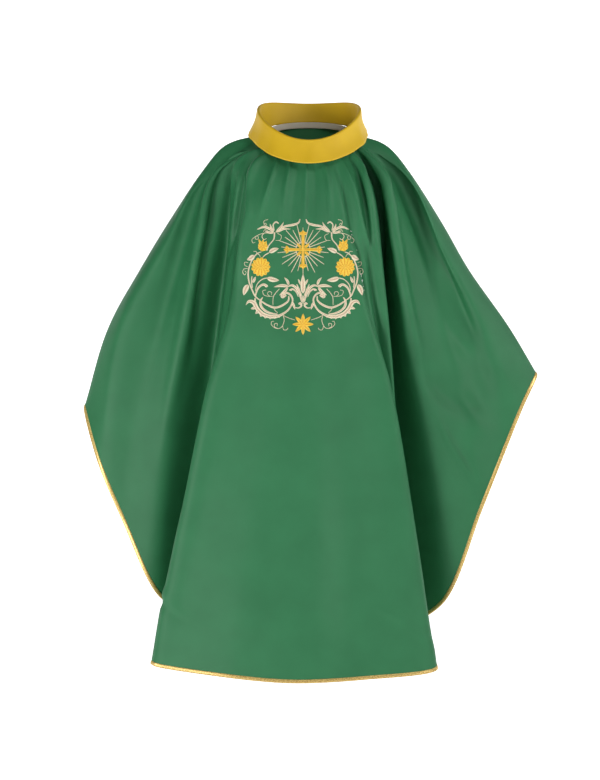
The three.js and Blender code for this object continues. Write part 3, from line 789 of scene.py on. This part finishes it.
def band(points, widths, lobes=1, height=1.0, lift=0.0, step=1.2):
    """Satin stitch along a smooth line: rows of points across it, raised as a dome, or as two domes
    beside a groove. Returns sections (station, corner) of x, y, height and of the stitch's UV."""
    knots = np.array([(x, y, 0.0) for x, y in points])
    rough = spline(knots, np.linspace(0, len(knots) - 1, 60))
    length = np.linalg.norm(np.diff(rough, axis=0), axis=1).sum()
    count = max(8, int(length / step))
    place = np.linspace(0, len(knots) - 1, count)
    line = spline(knots, place)[:, :2]
    heading = normalise(np.gradient(line, axis=0))
    side = np.stack([-heading[:, 1], heading[:, 0]], axis=-1)
    half = np.interp(place, np.linspace(0, len(knots) - 1, len(widths)), widths) / 2 * THREAD_SPREAD
    ends = np.minimum(np.arange(count), np.arange(count)[::-1]) / (count - 1)
    half = half * np.sqrt(np.clip(ends / 0.04 + 0.02, 0, 1))
    across = np.linspace(-1, 1, 9)
    dome = np.sqrt(np.clip(1 - across ** 2, 0, 1))
    if lobes == 2:
        dome = np.abs(np.sin(np.pi * across)) ** 0.7 * 0.9 + 0.1 * dome
    puff = np.clip(half / 3.0, 0.35, 1.0)[:, None]
    top = np.stack([line[:, None, 0] + side[:, None, 0] * across * half[:, None],
                    line[:, None, 1] + side[:, None, 1] * across * half[:, None],
                    lift + THREAD * height * (dome[None, :] * puff + 0.15)], axis=-1)
    under = top[:, [7, 4, 1]]
    under[..., 2] = -0.0004
    sections = np.concatenate([top, under], axis=1)
    uv = np.stack(np.broadcast_arrays(place[:, None] / (len(knots) - 1) * length * DRAWING_SCALE,
                                      np.concatenate([across, across[[7, 4, 1]]])[None, :]), axis=-1)
    return sections, uv


def leaf(base, tip, width, bend=0.0, lobes=2, lift=0.0):
    """A leaf from base to tip, widest nearer its base, with a groove for its vein."""
    base, tip = np.array(base, float), np.array(tip, float)
    across = np.array([base[1] - tip[1], tip[0] - base[0]]) * bend
    middle = (base + tip) / 2 + across
    share = np.linspace(0, 1, 9)
    widths = width * np.sin(np.pi * share ** 0.75) ** 0.8 + 0.6 * (1 - share) + 0.25
    return band([tuple(base), tuple(middle), tuple(tip)], widths, lobes=lobes, height=1.3, lift=lift,
                step=1.0)


def tendril(*points, width=2.0):
    """A thin running stitch with a rounded end."""
    return band(points, np.array([1, 1, 1, 0.8]) * width * 0.75, height=0.8)


def petal(centre, turn, inner, outer, width, lift=0.0, lobes=1):
    """One petal that points away from the middle of a flower."""
    heading = np.array([math.cos(turn), math.sin(turn)])
    return leaf(np.array(centre) + heading * inner, np.array(centre) + heading * outer, width,
                lobes=lobes, lift=lift)


def rosette(centre, radius, petals, layers):
    """A flower of rings of round petals, each ring smaller and higher than the one outside it."""
    parts = []
    for layer in range(layers):
        outer = radius * (1 - layer / layers)
        inner = outer * 0.42
        count = petals - 2 * layer
        width = 1.5 * math.pi * (outer + inner) / count
        for index in range(count):
            turn = 2 * math.pi * (index + layer / 2) / count
            start = np.array(centre) + inner * np.array([math.cos(turn), math.sin(turn)])
            end = np.array(centre) + outer * np.array([math.cos(turn), math.sin(turn)])
            round_widths = width * np.sqrt(np.sin(np.pi * np.linspace(0.03, 0.97, 9)))
            parts.append(band([tuple(start), tuple((start + end) / 2), tuple(end)], round_widths,
                              height=1.2, lift=layer * 0.0004, step=0.9))
    parts.append(band([(centre[0] - 3, centre[1]), centre, (centre[0] + 3, centre[1])], [5, 6, 5],
                      height=1.5, lift=(layers - 0.5) * 0.0004))
    return parts


def motif(name, parts, thread, slot, mirror=False):
    """Lays the parts of one motif on the cloth, as one piece that stands for its node."""
    points, faces, uvs, start = [], [], [], 0
    for sections, uv in parts:
        drawn = sections.copy()
        if mirror:
            drawn[..., 0] *= -1
        placed = on_chest(drawn[..., 0], drawn[..., 1], drawn[..., 2])
        corners, part_faces = sweep(placed, closed=False)
        points.append(corners)
        uvs.append(uv.reshape(-1, 2) + np.array([start * PART_SHIFT, 0]))
        faces.extend([[corner + start for corner in (face if mirror else face[::-1])]
                      for face in part_faces])
        start += len(corners)
    return new_piece(f"{name}_stitching", np.concatenate(points), faces_array(faces), thread, slot,
                     [name], np.concatenate(uvs))


def faces_array(faces):
    """Faces as plain lists, for meshes whose faces have different numbers of corners."""
    return [list(map(int, face)) for face in faces]


def leaf_spray():
    return [
        band([(-66, 96), (-44, 110), (-24, 114), (-11, 119), (-7, 128)], [4, 6, 7, 5, 2], lobes=2),
        leaf((-64, 99), (-46, 121), 6, -0.08), leaf((-62, 96), (-29, 104), 5, 0.12, lobes=1),
        band([(-69, 100), (-71, 115), (-64, 121), (-58, 117)], [3, 3.4, 4.4, 3]),
        leaf((-71, 100), (-79, 117), 5, 0.08, lobes=1),
        band([(-70, 97), (-79, 104), (-93, 109), (-110, 103)], [5, 7, 7, 2], lobes=2),
        leaf((-70, 95), (-92, 100), 6, 0.06),
        tendril((-78, 106), (-93, 116), (-93, 123), (-83, 127), width=1.8),
        tendril((-86, 113), (-90, 118), (-94, 114), width=1.8),
        tendril((-82, 98), (-91, 103), (-95, 97), width=1.8),
        tendril((-88, 95), (-99, 93), (-114, 86), (-122, 78), (-119, 71), (-114, 73), width=1.9),
        tendril((-112, 87), (-114, 81), (-108, 80), (-107, 86), (-111, 88), width=1.8),
        tendril((-74, 94), (-93, 94), (-98, 86), (-93, 79), (-87, 82), width=2.6),
        tendril((-62, 94), (-52, 88), (-55, 78), (-66, 77), width=1.8),
        band([(-68, 97), (-70, 80), (-81, 66), (-87, 52)], [4, 3.2, 2.8, 2.4]),
    ]


def crown_flower():
    middle = (-96, 63)
    return [*rosette(middle, 12, 7, 2),
            leaf((-100, 68), (-106, 80), 6, lobes=1), leaf((-96, 70), (-95, 80), 5, lobes=1),
            leaf((-91, 68), (-87, 76), 5, lobes=1)]


def rose():
    return rosette((-101, 14), 23, 13, 4)


def vine():
    return [
        band([(-99, 50), (-109, 46), (-119, 35), (-127, 18), (-131, 0), (-129, -21), (-122, -40),
              (-114, -56), (-101, -67)], [2, 3, 3.4, 3.6, 3.8, 4, 4, 4, 2.6], lobes=2),
        leaf((-117, 42), (-134, 31), 14, 0.1), leaf((-131, -28), (-142, -54), 15, -0.05),
        tendril((-130, 24), (-139, 25), (-139, 18), (-131, 14), width=2.0),
        tendril((-131, 10), (-141, 9), (-144, 1), (-139, -5), (-136, 2), (-140, 5), width=2.0),
        tendril((-119, 50), (-113, 51), (-109, 46), width=2.0),
        tendril((-111, 47), (-104, 42), (-102, 37), width=2.0),
        band([(-122, -8), (-123, -20), (-121, -36)], [2.6, 3.2, 3]),
        leaf((-120, -24), (-113, -9), 7, lobes=1),
    ]


def inner_leaf():
    return [leaf((-81, 48), (-58, 58), 13, 0.06), band([(-97, 36), (-91, 42), (-81, 48)], [2, 2.6, 3])]


def scroll():
    ridge = [(-137, -77), (-129, -68), (-118, -71), (-110, -85), (-97, -98), (-79, -104), (-63, -104),
             (-50, -99), (-36, -89), (-27, -75), (-25, -63), (-30, -53), (-39, -48), (-48, -50),
             (-50, -57), (-44, -59)]
    lobes = [((-112, -82), (-125, -86), 8), ((-106, -90), (-114, -98), 8), ((-98, -97), (-102, -105), 8),
             ((-89, -101), (-91, -109), 8), ((-79, -103), (-78, -111), 8), ((-69, -103), (-67, -110), 7),
             ((-60, -102), (-56, -107), 6)]
    return [
        band(ridge, [2, 8, 12, 12, 12, 11, 9, 6.5, 5, 4.5, 4.5, 5, 6, 8, 8, 5], lobes=2, height=1.4),
        *[leaf(base, tip, width, lobes=1) for base, tip, width in lobes],
        band([(-96, -58), (-101, -66), (-101, -78), (-91, -90), (-75, -97), (-60, -99)],
             [2, 6, 7, 6.5, 5, 3], height=1.2, lift=0.0004),
        band([(-115, -60), (-114, -70), (-111, -80)], [3.5, 4.5, 5]),
        band([(-48, -56), (-44, -54), (-41, -57)], [8, 9, 6], height=1.6, lift=0.0003),
        leaf((-25, -70), (-19, -88), 6.5, lobes=1),
    ]


def inner_scroll():
    return [
        band([(-101, -67), (-85, -77), (-67, -83), (-48, -77), (-35, -66), (-34, -55)],
             [4, 5, 6, 6, 4.5, 3]),
        band([(-114, -59), (-112, -48), (-106, -35), (-95, -28), (-88, -31), (-86, -34)],
             [3, 4, 5.5, 6.5, 8, 7]),
        tendril((-88, -41), (-96, -43), (-94, -52), (-85, -56), (-71, -56), width=2.0),
        tendril((-79, -56), (-85, -51), (-82, -45), (-75, -47), (-76, -53), width=2.0),
        tendril((-56, -38), (-66, -49), (-71, -58), (-72, -78), width=2.4),
        tendril((-70, -84), (-66, -91), (-60, -96), width=2.0),
    ]


def side_leaf():
    return [leaf((-86, -12), (-57, -18), 14, -0.05),
            band([(-114, -44), (-110, -28), (-98, -16), (-85, -12)], [2, 2.4, 2.4, 3])]


def leaf_sprig():
    return [
        leaf((-33, -33), (-70, -34), 8.5, -0.08), leaf((-36, -35), (-57, -54), 8, 0.05),
        leaf((-34, -30), (-45, -11), 7, -0.1), leaf((-30, -43), (-24, -38), 4, lobes=1),
        band([(-36, -33), (-27, -30), (-19, -34), (-12, -43), (-6, -57), (-3, -71)],
             [2, 6, 7, 7, 6, 3], lobes=2),
        band([(-33, -42), (-25, -39), (-16, -46), (-11, -58)], [4, 4.4, 4, 2]),
        band([(-19, -83), (-11, -84), (-4, -79), (-6, -73), (-11, -75)], [2.5, 3.5, 5, 6, 5]),
    ]


def lower_tendril():
    return [
        tendril((-48, -101), (-45, -112), (-48, -124), (-53, -131), (-61, -133), (-71, -129),
                (-76, -122), (-74, -116), (-69, -116), width=2.2),
        tendril((-60, -133), (-68, -129), (-68, -122), (-62, -121), (-62, -128), width=2.0),
        tendril((-49, -127), (-46, -136), (-39, -136), (-36, -131), width=2.0),
        tendril((-49, -101), (-34, -108), (-19, -113), width=2.2),
    ]


def palmette():
    halves = [part for side in (-1, 1) for part in (
        band([(side * 15, -27), (side * 10, -40), (side * 3, -55)], [2, 6, 3], lift=0.0002),
        leaf((side * 4, -30), (side * 12, -15), 5.5, lobes=1))]
    return [leaf((0, -50), (0, -3), 14, lift=0.0003), *halves,
            band([(0, -54), (0, -64), (0, -75)], [3, 5, 2])]


def star_flower():
    middle = (0, STAR_DOWN)
    rays = [petal(middle, math.pi / 4 * index, 3, 25.5, 10.5, lobes=2) for index in range(8)]
    inner = [petal(middle, math.pi / 4 * (index + 0.5), 1, 9, 4.5, lift=0.0004) for index in range(8)]
    return [*rays, *inner, band([(-3, STAR_DOWN), middle, (3, STAR_DOWN)], [5, 6, 5], height=1.6,
                                lift=0.0008)]


def sunburst():
    parts = []
    for index in range(26):
        turn = 2 * math.pi * (index + 0.5) / 26
        heading = np.array([math.cos(turn), math.sin(turn)])
        reach = 62 if index % 2 else 53
        ray = [(out * heading[0], SUN_UP + out * heading[1]) for out in (17, (17 + reach) / 2, reach)]
        parts.append(band(ray, [2.3, 2.1, 1.4], height=0.8))
    ring = [(17 * math.cos(turn), SUN_UP + 17 * math.sin(turn)) for turn in np.linspace(0, 2 * math.pi, 13)]
    return [*parts, band(ring, [3, 3], height=0.8)]


def cross_emblem():
    """A cross with trefoil ends, and a small petal in each angle between its arms."""
    parts = [band([(0, SUN_UP - 38), (0, SUN_UP), (0, SUN_UP + 36)], [9, 7.5, 9], lobes=2, height=1.6,
                  lift=0.0007),
             band([(-36, SUN_UP), (0, SUN_UP), (36, SUN_UP)], [9, 7.5, 9], lobes=2, height=1.6,
                  lift=0.0009)]
    for quarter in range(4):
        turn = quarter * math.pi / 2
        end = (36 * math.cos(turn), SUN_UP + 36 * math.sin(turn))
        for lobe in (-1.1, 0, 1.1):
            parts.append(petal(end, turn + lobe, 0.5, 10.5, 9, lift=0.0011))
        parts.append(petal((0, SUN_UP), turn + math.pi / 4, 6, 21, 7.5, lift=0.0006, lobes=2))
    return parts


PAIRED_MOTIFS = {
    "leaf_spray": ("pale", leaf_spray), "crown_flower": ("gold", crown_flower), "rose": ("gold", rose),
    "vine": ("pale", vine), "inner_leaf": ("pale", inner_leaf), "scroll": ("pale", scroll),
    "inner_scroll": ("pale", inner_scroll), "side_leaf": ("pale", side_leaf),
    "leaf_sprig": ("pale", leaf_sprig), "lower_tendril": ("pale", lower_tendril),
}
CENTRE_MOTIFS = {
    "palmette": ("pale", palmette), "star_flower": ("gold", star_flower), "sunburst": ("pale", sunburst),
    "cross_emblem": ("gold", cross_emblem),
}


class CHASUBLE_OT_backing(bpy.types.Operator):
    """Lay the stiff backing behind the embroidery"""
    bl_idname = "chasuble.backing"
    bl_label = "Embroidery backing"

    def execute(self, context):
        settings = context.scene.chasuble_trim
        felt = cloth_material("backing", (0.78, 0.78, 0.74), (0.70, 0.70, 0.66), 0.95, 0.0, 700)
        radius = np.linspace(0.5, settings.backing_radius / DRAWING_SCALE, 40)[:, None]
        turn = np.linspace(0, 2 * np.pi, 120, endpoint=False)[None, :]
        x, y = radius * np.sin(turn), radius * np.cos(turn)
        depth = context.scene.chasuble_cloth.thickness + 0.0006
        outer = on_chest(x, y, np.full(x.shape, -depth))
        inner = on_chest(x, y, np.full(x.shape, -depth - settings.backing_thickness))
        corners, faces = sweep(np.concatenate([outer, inner[::-1]]), closed=True)
        flat = np.stack([x, y], axis=-1) * DRAWING_SCALE
        uv = np.concatenate([flat, flat[::-1]]).reshape(-1, 2)
        piece = new_piece("stitch_backing", corners, faces, felt, "lining", ["embroidery_backing"], uv)
        return {"FINISHED"}


class CHASUBLE_OT_embroidery(bpy.types.Operator):
    """Work the embroidery on the chest"""
    bl_idname = "chasuble.embroidery"
    bl_label = "Embroidery"

    def execute(self, context):
        # The second colour of each thread is the painted shade that lies along the middle of its stitches.
        cream = thread_material("cream thread", (0.88, 0.78, 0.56), (0.56, 0.34, 0.23), 0.42)
        gold = thread_material("gold thread", (0.92, 0.62, 0.060), (0.74, 0.30, 0.010), 0.4)
        threads = {"pale": (cream, "pale_thread"), "gold": (gold, "gold_thread")}
        for name, (colour, draw) in PAIRED_MOTIFS.items():
            thread, slot = threads[colour]
            motif(f"{name}_left", draw(), thread, slot)
            motif(f"{name}_right", draw(), thread, slot, mirror=True)
        for name, (colour, draw) in CENTRE_MOTIFS.items():
            thread, slot = threads[colour]
            motif(name, draw(), thread, slot)
        return {"FINISHED"}


# ---------------------------------------------------------------------------------------------
# The stage
# ---------------------------------------------------------------------------------------------


def area_light(name, place, aim, size, power):
    """A square soft light that points at its aim."""
    data = bpy.data.lights.new(name, "AREA")
    data.size = size
    data.energy = power
    lamp = bpy.data.objects.new(name, data)
    lamp.location = place
    lamp.rotation_euler = (Vector(aim) - Vector(place)).to_track_quat("-Z", "Y").to_euler()
    bpy.context.scene.collection.objects.link(lamp)


FLOOR_GAP = 0.35                 # from the hem down to the floor
FLOOR_REACH = 40.0               # the floor's edge in front and at both sides
FLAT_REACH = 7.5                 # where the floor starts to curve up behind the cloth
WALL_BEND = 1.5                  # radius of that curve
WALL_HEIGHT = 8.0


def floor_material():
    """White paper that glows a little under the cloth and fully behind it."""
    material, nodes, links, shader = blank_material("white floor")
    shader.inputs["Base Color"].default_value = (0.9, 0.9, 0.9, 1)
    shader.inputs["Roughness"].default_value = 0.9
    shader.inputs["Emission Color"].default_value = (1, 1, 1, 1)
    place = nodes.new("ShaderNodeTexCoord")
    split = nodes.new("ShaderNodeSeparateXYZ")
    glow = nodes.new("ShaderNodeMapRange")
    glow.interpolation_type = "SMOOTHSTEP"
    for limit, value in (("From Min", -0.7), ("From Max", 0.3), ("To Min", 0.25), ("To Max", 0.95)):
        glow.inputs[limit].default_value = value
    links.new(place.outputs["Object"], split.inputs["Vector"])
    links.new(split.outputs["Y"], glow.inputs["Value"])
    links.new(glow.outputs["Result"], shader.inputs["Emission Strength"])
    return material


def lay_floor(scene):
    """A floor that curves up into a back wall: straight, then a quarter circle, then straight."""
    height = -DROP - FLOOR_GAP
    bend = np.linspace(0, math.pi / 2, 16)
    curve = np.stack([FLAT_REACH + WALL_BEND * np.sin(bend), height + WALL_BEND * (1 - np.cos(bend))],
                     axis=-1)
    profile = np.concatenate([[[-FLOOR_REACH, height]], curve,
                              [[FLAT_REACH + WALL_BEND, height + WALL_HEIGHT]]])
    sides = np.array([-FLOOR_REACH, FLOOR_REACH])
    points = np.stack(np.broadcast_arrays(sides[None, :], profile[:, :1], profile[:, 1:]), axis=-1)
    mesh = bpy.data.meshes.new("floor")
    mesh.from_pydata(points.reshape(-1, 3).tolist(), [], grid_faces(len(profile), 2)[:, ::-1].tolist())
    mesh.polygons.foreach_set("use_smooth", np.ones(len(mesh.polygons), dtype=bool))
    mesh.materials.append(floor_material())
    floor = bpy.data.objects.new("floor", mesh)
    scene.collection.objects.link(floor)


class CHASUBLE_OT_stage(bpy.types.Operator):
    """Set the floor, the lights and the camera"""
    bl_idname = "chasuble.stage"
    bl_label = "Stage"

    def execute(self, context):
        scene = context.scene
        lay_floor(scene)
        middle = (0, 0, -0.55)
        area_light("key", (-2.1, -2.7, -0.9), middle, 1.0, 58)
        area_light("fill", (2.3, -2.6, -1.0), middle, 1.0, 13)
        area_light("side", (2.6, -0.8, 0.6), (0.15, 0, -0.2), 0.8, 24)
        area_light("top", (1.1, -2.2, 1.4), (0, 0, 0.05), 0.7, 20)
        world = bpy.data.worlds.new("studio")
        world.use_nodes = True
        world.node_tree.nodes["Background"].inputs["Color"].default_value = (1, 1, 1, 1)
        world.node_tree.nodes["Background"].inputs["Strength"].default_value = 0.06
        scene.world = world
        scene.view_settings.view_transform = "Standard"

        camera = bpy.data.cameras.new("camera")
        camera.lens = 88.8
        camera.sensor_width = 36
        seat = bpy.data.objects.new("camera", camera)
        seat.location = (-0.010, -4.5, -0.150)
        aim = Vector((-0.0212, 0, -0.5875))
        seat.rotation_euler = (aim - seat.location).to_track_quat("-Z", "Y").to_euler()
        scene.collection.objects.link(seat)
        scene.camera = seat
        return {"FINISHED"}


class CHASUBLE_PT_panel(bpy.types.Panel):
    bl_label = "Chasuble"
    bl_idname = "CHASUBLE_PT_panel"
    bl_space_type = "VIEW_3D"
    bl_region_type = "UI"
    bl_category = "Chasuble"

    def draw(self, context):
        for operator in OPERATORS:
            self.layout.operator(operator.bl_idname)


OPERATORS = (CHASUBLE_OT_stage, CHASUBLE_OT_panels, CHASUBLE_OT_braid, CHASUBLE_OT_tapes,
             CHASUBLE_OT_collar, CHASUBLE_OT_backing, CHASUBLE_OT_embroidery)
CLASSES = (ChasubleCloth, ChasubleTrim, *OPERATORS, CHASUBLE_PT_panel)


def register():
    for item in CLASSES:
        bpy.utils.register_class(item)
    bpy.types.Scene.chasuble_cloth = bpy.props.PointerProperty(type=ChasubleCloth)
    bpy.types.Scene.chasuble_trim = bpy.props.PointerProperty(type=ChasubleTrim)


def unregister():
    del bpy.types.Scene.chasuble_trim
    del bpy.types.Scene.chasuble_cloth
    for item in reversed(CLASSES):
        bpy.utils.unregister_class(item)


def main():
    register()
    bpy.ops.chasuble.stage()
    bpy.ops.chasuble.panels()
    bpy.ops.chasuble.braid()
    bpy.ops.chasuble.tapes()
    bpy.ops.chasuble.collar()
    bpy.ops.chasuble.backing()
    bpy.ops.chasuble.embroidery()


if __name__ == "__main__":
    main()
